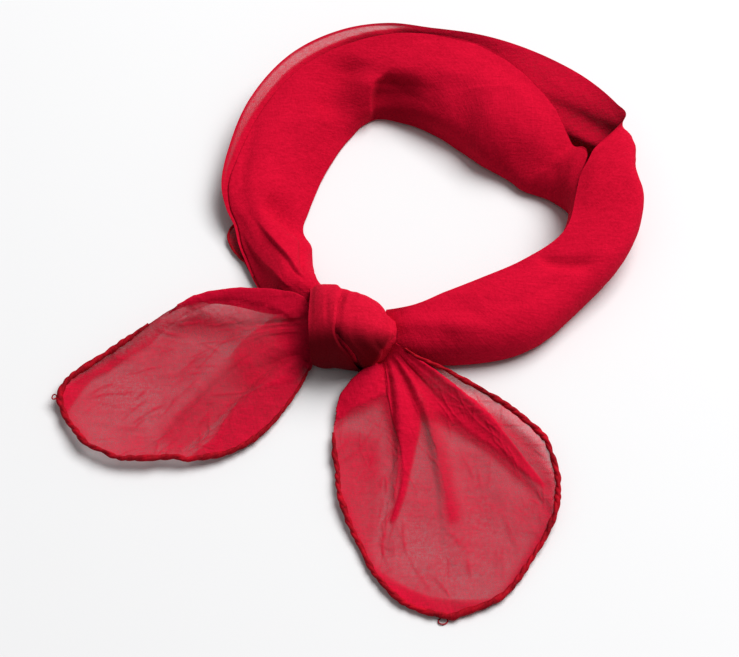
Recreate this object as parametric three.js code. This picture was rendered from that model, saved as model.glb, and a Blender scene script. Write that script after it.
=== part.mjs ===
// Square chiffon scarf, folded to a band, tied in one knot and laid down in a ring.
// All sizes are in millimetres, Z is up and the surface that the scarf lies on is z = 0.
import * as THREE from 'three';

// Cloth and hem
const WALL = 1.2;            // thickness of every cloth wall
const HEM_RADIUS = 1.3;      // rolled hem, a rope 2.6 mm thick
const HEM_SIDES = 6;
const HEM_AIR = 0.7;         // air between a hem and its tail, more where the cloth bends
const PLY_AIR = 1.7;         // distance between the two plies of the folded band
const REST_SNAP = 0.35;      // a skin lower than this lies flat on the surface

// The design is drawn about the ring, and this point of it becomes the origin
const ORIGIN = new THREE.Vector3(-5.7, 4.1, 0);

// Ring of the neck band, drawn in polar sections about its centre
const RING_CENTRE = new THREE.Vector2(30, 52);
const BAND_STATIONS = 52;
const INNER_STEPS = 8;       // section steps on the ply that faces the neck
const FOOT_STEPS = 2;        // section steps on the fold that lies on the surface
const OUTER_STEPS = 7;       // section steps on the ply that faces out

// One row for each section of the band, anticlockwise from the knot.
// angle: where the section stands. footIn, footOut: radii of the fold on the surface.
// lift: height of the fold. crestR, crestZ: radius and height of the free edge.
// innerPuff, innerSkew, outerPuff, outerSkew: how far each ply swells, and where.
// lip: share of the width by which the inner ply stops short of the free edge.
const BAND_COLUMNS = ['angle', 'footIn', 'footOut', 'lift', 'crestR', 'crestZ',
  'innerPuff', 'innerSkew', 'outerPuff', 'outerSkew', 'lip'];
const BAND_SECTIONS = [
  [-104, 62, 71, 0, 58, 20, 3, 1.0, 8, 0.6, 0.12],
  [-85, 58, 73, 0, 47, 20, 4, 1.0, 10, 0.6, 0.12],
  [-60, 57, 77, 0, 44, 20, 4, 1.0, 12, 0.6, 0.12],
  [-35, 60, 77, 0, 50, 21, 4, 1.0, 12, 0.6, 0.12],
  [-12, 64, 85, 0, 61, 22, 4, 1.0, 15, 0.6, 0.12],
  [5, 64, 90, 0, 65, 22, 4, 1.0, 18, 0.6, 0.12],
  [15, 62, 88, 0, 71, 23, 4, 1.0, 18, 0.7, 0.2],
  [22, 56, 89, 0, 81, 24, 5, 0.9, 17, 0.9, 0.3],
  [28, 51, 90, 0, 94, 24, 6, 0.8, 15, 1.0, 0.38],
  [35, 47, 84, 0, 102, 23, 7, 0.8, 9, 1.0, 0.4],
  [46, 45.5, 76, 0, 103, 22.5, 8, 0.7, 4, 1.0, 0.34],
  [60, 45.5, 67, 0, 102.5, 23.5, 11, 0.62, 4, 1.0, 0.24],
  [75, 50.5, 62, 0, 101, 25.5, 12, 0.6, 6, 1.0, 0.12],
  [90, 59.5, 68, 0, 103, 26.5, 12, 0.6, 6, 1.0, 0.05],
  [101, 68.5, 76, 0, 108, 26.5, 11, 0.65, 6, 1.0, 0.07],
  [112, 76, 82, 0, 112, 25, 8, 0.8, 5, 1.0, 0.1],
  [125, 70, 75, 0, 113, 22, 5, 0.9, 4, 1.0, 0.1],
  [140, 64, 69, 0, 109, 18, 4, 1.0, 3, 1.0, 0.1],
  [155, 61, 66, 0, 103, 14, 3, 1.0, 3, 1.0, 0.07],
  [170, 60, 65, 0, 98, 12, 4, 1.0, 2, 1.0, 0.06],
  [183, 59, 65, 0, 95, 8, 6, 1.0, 1, 1.0, 0.1],
  [192, 59, 67, 0, 88.5, 4, 10, 1.0, 0, 1.0, 0.1],
  [202, 60, 68, 3, 86, 3, 12, 1.0, 0, 1.0, 0.07],
  [210, 62, 69, 11, 84, 4, 8, 1.0, 0, 1.0, 0.07],
  [217, 64, 71, 14, 78, 3, 4, 1.0, 0, 1.0, 0.07],
];

// Knot: sections of the bundle of cloth inside it, from its left side to its right side
const KNOT_COLUMNS = ['x', 'back', 'front', 'top'];
const KNOT_SECTIONS = [
  [-26, 8, -23, 24],
  [-19, 7, -24, 28.5],
  [-8, 3.5, -24.5, 29.5],
  [2, -1, -22, 26.5],
  [12, -6, -17, 17.5],
];
const KNOT_SQUARENESS = 2.6; // superellipse exponent of the bundle's section
const KNOT_STATIONS = 12;
const KNOT_AROUND = 20;

// The two turns of cloth that pass over the bundle. Angles run from the back, 0,
// over the top, 90, to the front, 180. left and right are the turn's two edges.
const TURN_COLUMNS = ['angle', 'left', 'right'];
const WRAP_EDGES = [
  [10, -13, 6],
  [60, -13.5, 10],
  [95, -14, 11.5],
  [140, -15, 11],
  [180, -12.5, 8.5],
  [205, -7, 5],
  [235, -2, 1],
];
const SIDE_TURN_EDGES = [
  [14, -25, -16],
  [90, -25.5, -16],
  [140, -25.5, -17],
  [180, -25, -14.5],
  [205, -24, -9.5],
  [240, -22, -4.5],
];
const TURN_AIR = 0.9;        // air between the bundle's flat facets and a turn of cloth
const TURN_STEPS_AROUND = 14;
const TURN_STEPS_ACROSS = 5;

// Tails. Each is the corner of the scarf, fanned out from the knot. One row for each
// fold line or clear panel, in the order in which the cloth meets them.
// seat: place on the line where the tail leaves the knot, 0 to 1.
// near, mid, rim: compass direction of the line at 30, 60 and 100 % of its reach.
// reach: length of the line. zNear, zMid, zRim: its heights there.
const TAIL_COLUMNS = ['name', 'seat', 'near', 'mid', 'rim', 'reach', 'zNear', 'zMid', 'zRim'];
const RIGHT_TAIL = {
  centre: new THREE.Vector2(10, -20),
  seatFrom: new THREE.Vector3(6, -22.6, 3),
  seatTo: new THREE.Vector3(14, -20, 15),
  lines: [
    ['hidden_hem', 0.00, 244, 235, 231, 36.5, 2.5, 2.0, 2.0],
    ['left_fold', 0.06, 222, 222, 232, 37.5, 8.5, 7.5, 4.0],
    ['lobe', 0.14, 236, 238, 237, 45.5, 10.0, 8.0, 3.5],
    ['left_panel', 0.22, 250, 248, 247, 62, 6.5, 3.5, 3.0],
    ['left_panel_side', 0.29, 261, 259, 254, 78.5, 4.5, 2.0, 3.0],
    ['first_fold_under', 0.36, 290, 275, 265, 105.5, 4.0, 0.9, 2.2],
    ['first_fold_over', 0.43, 273.5, 272.5, 266.5, 110, 8.5, 5.5, 2.5],
    ['second_panel', 0.50, 291, 281, 272, 122.5, 5.0, 0.9, 2.0],
    ['centre_fold_under', 0.57, 296, 287, 280, 130.5, 4.0, 0.6, 1.8],
    ['centre_fold_over', 0.63, 292, 286, 282, 130.5, 8.0, 4.5, 2.0],
    ['centre_panel', 0.69, 302, 298, 291, 127.5, 4.0, 0.6, 2.2],
    ['centre_panel_side', 0.75, 309, 307, 301, 116, 3.5, 2.0, 3.0],
    ['third_fold_under', 0.80, 324, 318.5, 311, 106, 4.5, 3.0, 4.0],
    ['third_fold_over', 0.85, 301, 315, 312, 104.5, 8.0, 6.5, 4.5],
    ['top_fold_over', 0.90, 331, 323.5, 316.5, 98, 13.0, 9.5, 5.5],
    ['top_fold_under', 0.94, 326, 321, 318, 96, 8.0, 5.5, 5.0],
    ['right_panel', 0.97, 333.5, 328.5, 321.5, 90, 8.0, 7.5, 6.0],
    ['open_hem', 1.00, 342, 334, 328, 82, 13.5, 10.0, 8.0],
  ],
};
const LEFT_TAIL = {
  centre: new THREE.Vector2(-26, -8),
  seatFrom: new THREE.Vector3(-27.6, 2, 17),
  seatTo: new THREE.Vector3(-27.6, -22, 4),
  lines: [
    ['hidden_hem', 0.00, 154, 155, 171.5, 66.5, 10.0, 6.0, 7.5],
    ['top_fold', 0.06, 122, 150, 168, 60, 18.0, 16.0, 11.0],
    ['top_ply', 0.15, 164, 168, 177, 72.5, 15.0, 11.5, 9.5],
    ['top_panel', 0.23, 172, 178, 186, 90, 11.0, 5.5, 6.5],
    ['top_panel_side', 0.31, 178, 186, 192, 109.5, 9.0, 2.8, 5.0],
    ['tip', 0.39, 184, 193, 198, 115.5, 8.0, 0.6, 4.0],
    ['low_panel', 0.46, 189, 201, 208, 111.5, 7.0, 0.6, 5.0],
    ['low_panel_side', 0.53, 195, 209, 214, 107.5, 6.0, 2.0, 6.0],
    ['first_fold_under', 0.60, 206, 216, 218, 102.5, 4.5, 0.9, 6.0],
    ['first_fold_over', 0.66, 196, 213, 219.5, 100.5, 10.5, 6.0, 6.0],
    ['second_panel', 0.72, 216, 219, 222.5, 95.5, 7.5, 2.6, 6.0],
    ['second_fold_under', 0.79, 243, 233, 224.5, 92.5, 3.0, 0.9, 5.5],
    ['second_fold_over', 0.85, 231, 223, 226.5, 90, 9.5, 6.0, 5.5],
    ['bottom_crest', 0.90, 236, 227, 228.5, 87.5, 10.0, 7.0, 5.0],
    ['bottom_ply', 0.95, 246, 240, 230.5, 85, 6.5, 4.0, 4.5],
    ['open_hem', 1.00, 256, 248.5, 235.5, 82, 3.0, 2.5, 5.0],
  ],
};
const LINE_STEPS = 2;        // surface steps from one tail line to the next
const TAIL_STEPS = 10;       // surface steps from the knot to the rim
const HEM_START = 1;         // surface step at which a tail's hem comes out of the knot
const HEM_END = 2;           // tail line at which the hem goes out of sight under a fold

const CLOTH_COLOUR = 0xd70f2d;
const SHEER_COLOUR = 0xc8505f;
const HEM_COLOUR = 0x9c0a22;
const KNOT_COLOUR = 0xb80d28;

const radians = THREE.MathUtils.degToRad;

function asRecords(columns, rows) {
  return rows.map((row) => Object.fromEntries(columns.map((name, i) => [name, row[i]])));
}

// Cubic interpolation of one column of a table, smooth through every row
function columnAt(records, key, column, at) {
  const last = records.length - 1;
  let i = 0;
  while (i < last - 1 && at > records[i + 1][key]) i += 1;
  const slope = (k) => {
    const a = records[Math.max(k - 1, 0)];
    const b = records[Math.min(k + 1, last)];
    return (b[column] - a[column]) / (b[key] - a[key]);
  };
  const span = records[i + 1][key] - records[i][key];
  const t = (at - records[i][key]) / span;
  const t2 = t * t;
  const t3 = t2 * t;
  return (2 * t3 - 3 * t2 + 1) * records[i][column] + (t3 - 2 * t2 + t) * span * slope(i)
    + (3 * t2 - 2 * t3) * records[i + 1][column] + (t3 - t2) * span * slope(i + 1);
}

function rowAt(records, key, at) {
  const row = {};
  for (const column of Object.keys(records[0])) {
    if (column !== 'name') row[column] = columnAt(records, key, column, at);
  }
  row[key] = at;
  return row;
}

// Curve through four values at 0, 0.3, 0.6 and 1
function throughFour(values, v) {
  const knots = [0, 0.3, 0.6, 1];
  return values.reduce((sum, value, i) => {
    const weight = knots.reduce((w, knot, k) => (k === i ? w : w * (v - knot) / (knots[i] - knot)), 1);
    return sum + value * weight;
  }, 0);
}

function meshFrom(name, positions, triangles, colour, roughness) {
  const geometry = new THREE.BufferGeometry();
  const flat = positions.flatMap((p) => [p.x - ORIGIN.x, p.y - ORIGIN.y, p.z - ORIGIN.z]);
  geometry.setAttribute('position', new THREE.Float32BufferAttribute(flat, 3));
  let volume = 0;
  for (const [a, b, c] of triangles) {
    volume += positions[a].dot(positions[b].clone().cross(positions[c]));
  }
  const faces = volume < 0 ? triangles.map(([a, b, c]) => [a, c, b]) : triangles;
  geometry.setIndex(faces.flat());
  geometry.computeVertexNormals();
  const material = new THREE.MeshStandardMaterial({ color: colour, roughness, metalness: 0 });
  const mesh = new THREE.Mesh(geometry, material);
  mesh.name = name;
  return mesh;
}

// Wall of even thickness about a grid of points, closed along its four edges
function clothWall(name, grid, colour) {
  const rows = grid.length;
  const cols = grid[0].length;
  const at = (i, j) => grid[THREE.MathUtils.clamp(i, 0, rows - 1)][THREE.MathUtils.clamp(j, 0, cols - 1)];
  const positions = [];
  for (const side of [1, -1]) {
    for (let i = 0; i < rows; i += 1) {
      for (let j = 0; j < cols; j += 1) {
        const along = at(i + 1, j).clone().sub(at(i - 1, j));
        const across = at(i, j + 1).clone().sub(at(i, j - 1));
        const normal = along.cross(across).normalize();
        const skin = grid[i][j].clone().addScaledVector(normal, side * WALL / 2);
        if (skin.z < REST_SNAP) skin.z = 0;
        positions.push(skin);
      }
    }
  }
  const under = rows * cols;
  const triangles = [];
  const quad = (a, b, c, d) => triangles.push([a, b, c], [a, c, d]);
  for (let i = 0; i < rows - 1; i += 1) {
    for (let j = 0; j < cols - 1; j += 1) {
      const a = i * cols + j;
      quad(a, a + cols, a + cols + 1, a + 1);
      quad(under + a, under + a + 1, under + a + cols + 1, under + a + cols);
    }
  }
  for (let i = 0; i < rows - 1; i += 1) {
    const a = i * cols;
    const b = a + cols - 1;
    quad(a, under + a, under + a + cols, a + cols);
    quad(b, b + cols, under + b + cols, under + b);
  }
  for (let j = 0; j < cols - 1; j += 1) {
    const b = (rows - 1) * cols + j;
    quad(j, j + 1, under + j + 1, under + j);
    quad(b, under + b, under + b + 1, b + 1);
  }
  return meshFrom(name, positions, triangles, colour, 0.85);
}

// Round rope along a path, with flat ends
function rope(name, path, radius, sides, colour) {
  const positions = [];
  const triangles = [];
  let up = new THREE.Vector3(0, 0, 1);
  path.forEach((point, i) => {
    const ahead = path[Math.min(i + 1, path.length - 1)];
    const behind = path[Math.max(i - 1, 0)];
    const tangent = ahead.clone().sub(behind).normalize();
    const side = tangent.clone().cross(up).normalize();
    up = side.clone().cross(tangent).normalize();
    for (let k = 0; k < sides; k += 1) {
      const turn = 2 * Math.PI * k / sides;
      positions.push(point.clone()
        .addScaledVector(side, radius * Math.cos(turn))
        .addScaledVector(up, radius * Math.sin(turn)));
    }
  });
  for (let i = 0; i < path.length - 1; i += 1) {
    for (let k = 0; k < sides; k += 1) {
      const a = i * sides + k;
      const b = i * sides + (k + 1) % sides;
      triangles.push([a, b, b + sides], [a, b + sides, a + sides]);
    }
  }
  const end = (path.length - 1) * sides;
  for (let k = 1; k < sides - 1; k += 1) {
    triangles.push([0, k + 1, k], [end, end + k, end + k + 1]);
  }
  return meshFrom(name, positions, triangles, colour, 0.7);
}

// Centre line of the band's section: inner ply, fold on the surface, outer ply
function bandSection(row) {
  const ray = new THREE.Vector2(Math.cos(radians(row.angle)), Math.sin(radians(row.angle)));
  const floor = WALL / 2;
  const foot = new THREE.Vector2(row.footIn, floor + Math.max(row.lift, 0));
  const heel = new THREE.Vector2(row.footOut, floor + 0.5 * Math.max(row.lift, 0));
  const crest = new THREE.Vector2(row.crestR, row.crestZ);
  const lip = THREE.MathUtils.clamp(row.lip, 0.03, 0.6);
  const section = [];
  const innerLine = crest.clone().sub(foot);
  const innerNormal = new THREE.Vector2(-innerLine.y, innerLine.x).normalize();
  for (let i = INNER_STEPS; i > 0; i -= 1) {
    const t = i / INNER_STEPS;
    const puff = PLY_AIR + Math.max(row.innerPuff, 0) * Math.sin(Math.PI * t ** row.innerSkew);
    section.push(foot.clone().addScaledVector(innerLine, t * (1 - lip)).addScaledVector(innerNormal, puff));
  }
  for (let i = 0; i < FOOT_STEPS; i += 1) section.push(foot.clone().lerp(heel, i / FOOT_STEPS));
  const outerLine = crest.clone().sub(heel);
  const outerNormal = new THREE.Vector2(outerLine.y, -outerLine.x).normalize();
  for (let i = 0; i <= OUTER_STEPS; i += 1) {
    const t = i / OUTER_STEPS;
    const puff = Math.max(row.outerPuff, 0) * Math.sin(Math.PI * t ** row.outerSkew);
    section.push(heel.clone().addScaledVector(outerLine, t).addScaledVector(outerNormal, puff));
  }
  return section.map((p) => new THREE.Vector3(
    RING_CENTRE.x + ray.x * p.x, RING_CENTRE.y + ray.y * p.x, Math.max(p.y, floor)));
}

function neckBand() {
  const records = asRecords(BAND_COLUMNS, BAND_SECTIONS);
  const first = records[0].angle;
  const last = records[records.length - 1].angle;
  const grid = [];
  for (let i = 0; i <= BAND_STATIONS; i += 1) {
    grid.push(bandSection(rowAt(records, 'angle', first + (last - first) * i / BAND_STATIONS)));
  }
  return clothWall('neck_band', grid, CLOTH_COLOUR);
}

// Point of the knot's bundle at a place along it and an angle around it, moved out by rise
function knotPoint(records, x, angle, rise) {
  const row = rowAt(records, 'x', x);
  const turn = radians(angle);
  const bend = (value) => Math.sign(value) * Math.abs(value) ** (2 / KNOT_SQUARENESS);
  const halfDepth = (row.back - row.front) / 2 + rise;
  const halfHeight = row.top / 2 + rise;
  return new THREE.Vector3(x, (row.back + row.front) / 2 + halfDepth * bend(Math.cos(turn)),
    row.top / 2 + halfHeight * bend(Math.sin(turn)));
}

function knotCore() {
  const records = asRecords(KNOT_COLUMNS, KNOT_SECTIONS);
  const first = records[0].x;
  const last = records[records.length - 1].x;
  const positions = [];
  const triangles = [];
  for (let i = 0; i <= KNOT_STATIONS; i += 1) {
    for (let k = 0; k < KNOT_AROUND; k += 1) {
      const point = knotPoint(records, first + (last - first) * i / KNOT_STATIONS, 360 * k / KNOT_AROUND, 0);
      if (point.z < 2 * REST_SNAP) point.z = 0;
      positions.push(point);
    }
  }
  for (let i = 0; i < KNOT_STATIONS; i += 1) {
    for (let k = 0; k < KNOT_AROUND; k += 1) {
      const a = i * KNOT_AROUND + k;
      const b = i * KNOT_AROUND + (k + 1) % KNOT_AROUND;
      triangles.push([a, b, b + KNOT_AROUND], [a, b + KNOT_AROUND, a + KNOT_AROUND]);
    }
  }
  const end = KNOT_STATIONS * KNOT_AROUND;
  for (let k = 1; k < KNOT_AROUND - 1; k += 1) {
    triangles.push([0, k + 1, k], [end, end + k, end + k + 1]);
  }
  return meshFrom('knot_core', positions, triangles, KNOT_COLOUR, 0.85);
}

// A turn of cloth laid over the bundle between its left and right edges
function knotTurn(name, edges, rise) {
  const bundle = asRecords(KNOT_COLUMNS, KNOT_SECTIONS);
  const records = asRecords(TURN_COLUMNS, edges);
  const first = records[0].angle;
  const last = records[records.length - 1].angle;
  const grid = [];
  for (let i = 0; i <= TURN_STEPS_AROUND; i += 1) {
    const row = rowAt(records, 'angle', first + (last - first) * i / TURN_STEPS_AROUND);
    const line = [];
    for (let j = 0; j <= TURN_STEPS_ACROSS; j += 1) {
      const x = THREE.MathUtils.lerp(row.left, row.right, j / TURN_STEPS_ACROSS);
      const point = knotPoint(bundle, x, row.angle, rise);
      point.z = Math.max(point.z, WALL / 2);
      line.push(point);
    }
    grid.push(line);
  }
  return clothWall(name, grid, KNOT_COLOUR);
}

// Point of a tail on one of its lines, v from 0 at the knot to 1 at the rim
function linePoint(tail, line, v) {
  const seat = tail.seatFrom.clone().lerp(tail.seatTo, line.seat);
  const stops = [[0.3, line.near], [0.6, line.mid], [1, line.rim]].map(([share, direction]) => [
    tail.centre.x + share * line.reach * Math.cos(radians(direction)),
    tail.centre.y + share * line.reach * Math.sin(radians(direction)),
  ]);
  return new THREE.Vector3(
    throughFour([seat.x, ...stops.map((stop) => stop[0])], v),
    throughFour([seat.y, ...stops.map((stop) => stop[1])], v),
    Math.max(throughFour([seat.z, line.zNear, line.zMid, line.zRim], v), WALL / 2),
  );
}

// Step of one inset from a border point into the surface, square to the border
function stepInside(point, before, after, inner, inset) {
  const along = after.clone().sub(before).normalize();
  const inside = inner.clone().sub(point);
  return inside.addScaledVector(along, -inside.dot(along)).setLength(inset);
}

// Grid of a tail's whole surface: a row for each step from the knot to the rim
function tailSurface(tail) {
  const lines = asRecords(TAIL_COLUMNS, tail.lines);
  const steps = (lines.length - 1) * LINE_STEPS;
  const grid = [];
  for (let j = 0; j <= TAIL_STEPS; j += 1) {
    const points = lines.map((line) => linePoint(tail, line, j / TAIL_STEPS));
    const curve = new THREE.CatmullRomCurve3(points, false, 'catmullrom', 0.5);
    grid.push(Array.from({ length: steps + 1 }, (_, i) => curve.getPoint(i / steps)));
  }
  return grid;
}

// The same surface, drawn back from its hem along both edges and the rim
function insideHem(surface) {
  const grid = surface.map((row) => row.map((point) => point.clone()));
  const steps = grid[0].length - 1;
  const inset = HEM_RADIUS + HEM_AIR;
  const at = (j, i) => grid[THREE.MathUtils.clamp(j, 0, TAIL_STEPS)][THREE.MathUtils.clamp(i, 0, steps)];
  const fromRim = (i) => stepInside(at(TAIL_STEPS, i), at(TAIL_STEPS, i - 1), at(TAIL_STEPS, i + 1),
    at(TAIL_STEPS - 1, THREE.MathUtils.clamp(i, 1, steps - 1)), inset);
  const fromEdge = (j, edge, inner) => stepInside(at(j, edge), at(j - 1, edge), at(j + 1, edge),
    at(Math.min(j, TAIL_STEPS - 1), inner), inset);
  const moves = [];
  for (let i = 1; i < steps; i += 1) moves.push([at(TAIL_STEPS, i), fromRim(i)]);
  for (const [edge, inner] of [[0, 1], [steps, steps - 1]]) {
    for (let j = 0; j < TAIL_STEPS; j += 1) moves.push([at(j, edge), fromEdge(j, edge, inner)]);
    const square = fromRim(edge);
    const sideways = fromEdge(TAIL_STEPS, edge, inner);
    const mitre = 1 / (1 + square.dot(sideways) / inset ** 2);
    moves.push([at(TAIL_STEPS, edge), square.add(sideways).multiplyScalar(mitre)]);
  }
  moves.forEach(([point, move]) => point.add(move));
  grid.flat().forEach((point) => { point.z = Math.max(point.z, WALL / 2); });
  return grid;
}

// Path of a tail's hem: out along its open edge and round the rim to the fold that hides it
function hemPath(surface) {
  const rim = surface[TAIL_STEPS];
  const open = rim.length - 1;
  const path = surface.slice(HEM_START, TAIL_STEPS).map((row) => row[open]);
  path.push(...rim.slice(HEM_END * LINE_STEPS).reverse());
  return path.map((point) => new THREE.Vector3(point.x, point.y, Math.max(point.z, HEM_RADIUS)));
}

// A tail's sheet and the hem rolled along its border
function tailAndHem(side, tail) {
  const surface = tailSurface(tail);
  const path = hemPath(surface);
  return [
    clothWall(`tail_${side}`, insideHem(surface), SHEER_COLOUR),
    rope(`hem_${side}`, path, HEM_RADIUS, HEM_SIDES, HEM_COLOUR),
  ];
}

const group = new THREE.Group();
group.add(neckBand());
group.add(knotCore());
group.add(knotTurn('knot_side_turn', SIDE_TURN_EDGES, TURN_AIR + WALL / 2));
group.add(knotTurn('knot_wrap', WRAP_EDGES, TURN_AIR + WALL / 2));
group.add(...tailAndHem('right', RIGHT_TAIL));
group.add(...tailAndHem('left', LEFT_TAIL));

export default group;
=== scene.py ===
"""Square scarf of sheer red chiffon, folded to a band, tied in one knot and laid down in a ring.

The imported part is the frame. Finer cloth is laid over it: the band with its folds, the turns of
the knot, two sheer tails, their rolled hems and the thread loops at their tips.
Lengths are in millimetres in the tables and in metres in the meshes.
"""

import bpy
import numpy as np
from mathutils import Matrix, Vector


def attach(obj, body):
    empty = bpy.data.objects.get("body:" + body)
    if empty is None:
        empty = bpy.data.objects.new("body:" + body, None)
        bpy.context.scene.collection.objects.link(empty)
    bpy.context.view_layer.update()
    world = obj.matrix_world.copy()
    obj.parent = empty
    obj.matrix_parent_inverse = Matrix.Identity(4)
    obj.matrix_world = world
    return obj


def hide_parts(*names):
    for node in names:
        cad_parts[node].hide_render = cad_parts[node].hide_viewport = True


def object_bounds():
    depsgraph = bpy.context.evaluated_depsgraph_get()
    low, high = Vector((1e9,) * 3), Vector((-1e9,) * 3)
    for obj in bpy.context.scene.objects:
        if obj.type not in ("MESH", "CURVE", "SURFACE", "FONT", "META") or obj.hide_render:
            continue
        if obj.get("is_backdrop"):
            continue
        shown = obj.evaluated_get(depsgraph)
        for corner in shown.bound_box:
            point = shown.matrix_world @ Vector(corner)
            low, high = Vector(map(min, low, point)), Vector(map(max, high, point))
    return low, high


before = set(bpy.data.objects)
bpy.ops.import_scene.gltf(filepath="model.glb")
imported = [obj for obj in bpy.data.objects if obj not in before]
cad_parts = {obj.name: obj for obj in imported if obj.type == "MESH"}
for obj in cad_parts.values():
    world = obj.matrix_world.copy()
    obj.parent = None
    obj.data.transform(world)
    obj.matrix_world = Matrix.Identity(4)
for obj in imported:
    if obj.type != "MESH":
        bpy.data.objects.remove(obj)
cad_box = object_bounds()

MM = 0.001
ORIGIN = np.array([-5.7, 4.1, 0.0])  # where the frame's origin lies in the design
RING = np.array([30.0, 52.0])  # the ring's centre
SURFACE = 0.15  # lowest that cloth lies above the surface under it


# Tables

def table(columns, rows):
    """A dictionary of columns from a heading and its rows."""
    return {name: np.array([row[i] for row in rows], float) for i, name in enumerate(columns.split())}


def cubic(t, start, start_slope, end, end_slope):
    """Cubic from one value to another, with a slope at each, over one unit of t."""
    return ((2 * t**3 - 3 * t**2 + 1) * start + (t**3 - 2 * t**2 + t) * start_slope
            + (3 * t**2 - 2 * t**3) * end + (t**3 - t**2) * end_slope)


def columns_at(rows, at):
    """Cubic curve through each column at places given in the first, which is itself left out.

    Its slope at a row comes from the rows on either side.
    """
    x, *columns = rows.values()
    last = len(x) - 1
    before, after = np.maximum(np.arange(last + 1) - 1, 0), np.minimum(np.arange(last + 1) + 1, last)
    i = np.clip(np.searchsorted(x, at) - 1, 0, last - 1)
    span = x[i + 1] - x[i]
    for y in columns:
        slope = (y[after] - y[before]) / (x[after] - x[before])
        yield cubic((at - x[i]) / span, y[i], span * slope[i], y[i + 1], span * slope[i + 1])


def ease(x):
    """Smooth step from 0 to 1."""
    x = np.clip(x, 0, 1)
    return x * x * (3 - 2 * x)


def bump(x, width):
    """Bell of height 1 at x = 0."""
    return np.exp(-(x / width) ** 2)


def noise(u, v, seed):
    """Smooth random surface from -1 to 1 with one lattice cell to each unit of u and v."""
    lattice = np.random.default_rng(seed).uniform(-1, 1, (64, 64))
    i, j = np.floor(u).astype(int), np.floor(v).astype(int)
    a, b = ease(u - i), ease(v - j)
    corner = lambda di, dj: lattice[(i + di) % 64, (j + dj) % 64]
    return ((corner(0, 0) * (1 - a) + corner(1, 0) * a) * (1 - b)
            + (corner(0, 1) * (1 - a) + corner(1, 1) * a) * b)


def normals(grid):
    """Unit normals of a grid of points, from its rows and columns."""
    normal = np.cross(np.gradient(grid, axis=0), np.gradient(grid, axis=1))
    return normal / np.maximum(np.linalg.norm(normal, axis=2, keepdims=True), 1e-9)


def with_relief(grid, relief, outward):
    """Grid moved along its outward normals by a relief, and kept above the surface."""
    grid = grid + outward * relief[..., None]
    grid[..., 2] = np.maximum(grid[..., 2], SURFACE)
    return grid


def along(grid, axis):
    """Distance run along one direction of a grid, in millimetres."""
    step = np.linalg.norm(np.diff(grid, axis=axis), axis=2)
    start = np.zeros_like(np.take(step, [0], axis=axis))
    return np.concatenate([start, np.cumsum(step, axis=axis)], axis=axis)


def turned(x, y, angle):
    """The same place on axes that are turned by an angle."""
    return x * np.cos(angle) + y * np.sin(angle), y * np.cos(angle) - x * np.sin(angle)


def on_bias(first, second):
    """Thread directions halfway between two directions, because the square is folded on its diagonal."""
    return np.stack([first + second, first - second], axis=2) * 0.7071


def polar(centre, radius, angle, height):
    """Points at a radius, an angle in degrees and a height about a centre."""
    ray = np.radians(angle)
    x, y = centre[0] + radius * np.cos(ray), centre[1] + radius * np.sin(ray)
    return np.stack(np.broadcast_arrays(x, y, height), axis=-1)


def smoothed(grid, axis, width):
    """Grid averaged along one direction over a few neighbours, with its two ends held."""
    reach = int(3 * width)
    weights = np.exp(-0.5 * (np.arange(-reach, reach + 1) / width) ** 2)
    weights /= weights.sum()
    grid = np.moveaxis(grid, axis, 0)
    first, last = grid[:1], grid[-1:]
    padded = np.concatenate([2 * first - grid[reach:0:-1], grid, 2 * last - grid[-2:-reach - 2:-1]])
    out = sum(w * padded[k:k + len(grid)] for k, w in enumerate(weights))
    return np.moveaxis(out, 0, axis)


# Meshes

def placed(name, data):
    """New object of this data, in the scene."""
    thing = bpy.data.objects.new(name, data)
    bpy.context.scene.collection.objects.link(thing)
    return thing


def sheet_mesh(name, grid, plies, weave, material):
    """Open sheet through a grid of points, with its plies and its thread directions stored on it."""
    rows, cols = grid.shape[:2]
    points = (grid.reshape(-1, 3) - ORIGIN) * MM
    index = np.arange(rows * cols).reshape(rows, cols)
    corners = [index[:-1, :-1], index[1:, :-1], index[1:, 1:], index[:-1, 1:]]
    quads = np.stack(corners, axis=2).reshape(-1, 4)
    mesh = bpy.data.meshes.new(name)
    mesh.from_pydata(points.tolist(), [], quads.tolist())
    mesh.polygons.foreach_set("use_smooth", np.ones(len(quads), bool))
    attribute = mesh.attributes.new("plies", "FLOAT", "POINT")
    plies = np.broadcast_to(plies, (rows, cols)).astype(np.float32)
    attribute.data.foreach_set("value", plies.ravel())
    layer = mesh.uv_layers.new(name="weave")
    point_of = np.zeros(len(mesh.loops), np.int32)
    mesh.loops.foreach_get("vertex_index", point_of)
    layer.data.foreach_set("uv", (weave.reshape(-1, 2) * MM)[point_of].astype(np.float32).ravel())
    mesh.materials.append(material)
    return placed(name, mesh)


def rope_grid(path, radius, sides, turn=0.0, offset=0.0):
    """Round tube about a path: a circle carried along it, square to it.

    A strand of a twisted rope runs at an offset from the path and turns around it.
    """
    tangent = np.gradient(path, axis=0)
    tangent /= np.linalg.norm(tangent, axis=1, keepdims=True)
    side = np.cross(tangent, [0.0, 0.0, 1.0])
    side /= np.linalg.norm(side, axis=1, keepdims=True)
    up = np.cross(side, tangent)
    turn, offset = (np.broadcast_to(value, len(path))[:, None] for value in (turn, offset))
    centre = path + offset * (side * np.cos(turn) + up * np.sin(turn))
    around = np.linspace(0, 2 * np.pi, sides + 1)
    radius = np.broadcast_to(radius, len(path))[:, None, None]
    return (centre[:, None] + radius * (side[:, None] * np.cos(around)[None, :, None]
                                        + up[:, None] * np.sin(around)[None, :, None]))


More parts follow.
